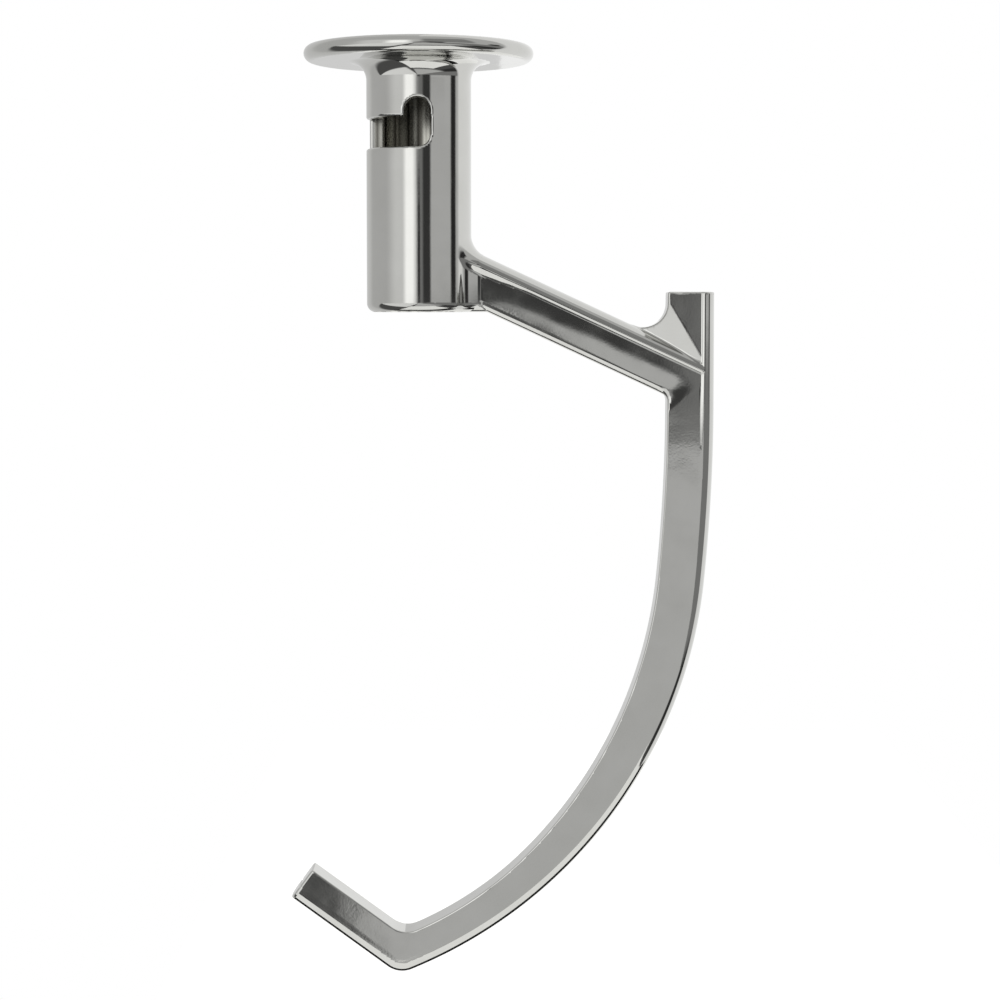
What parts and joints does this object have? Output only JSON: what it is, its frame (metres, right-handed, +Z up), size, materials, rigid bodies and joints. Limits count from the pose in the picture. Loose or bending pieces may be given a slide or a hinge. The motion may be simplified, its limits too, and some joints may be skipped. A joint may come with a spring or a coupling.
{
  "type": "stand mixer dough hook",
  "caption": "C-shaped dough hook for a planetary stand mixer, polished metal casting with a guard disc, a bored hub with bayonet slot, a sloping arm and a curved blade with turned-up toe.",
  "frame": {"origin": "bore axis at the top face of the guard disc", "axes": "+Z up along the bore towards the mixer, +X along the reach of the arm, -Y is the side of the lock notch"},
  "size_m": [0.0995, 0.0534, 0.2181],
  "materials": {
    "polished_steel": "polished"
  },
  "bodies": {
    "root": {"dough_hook": "polished_steel"}
  },
  "joints": []
}
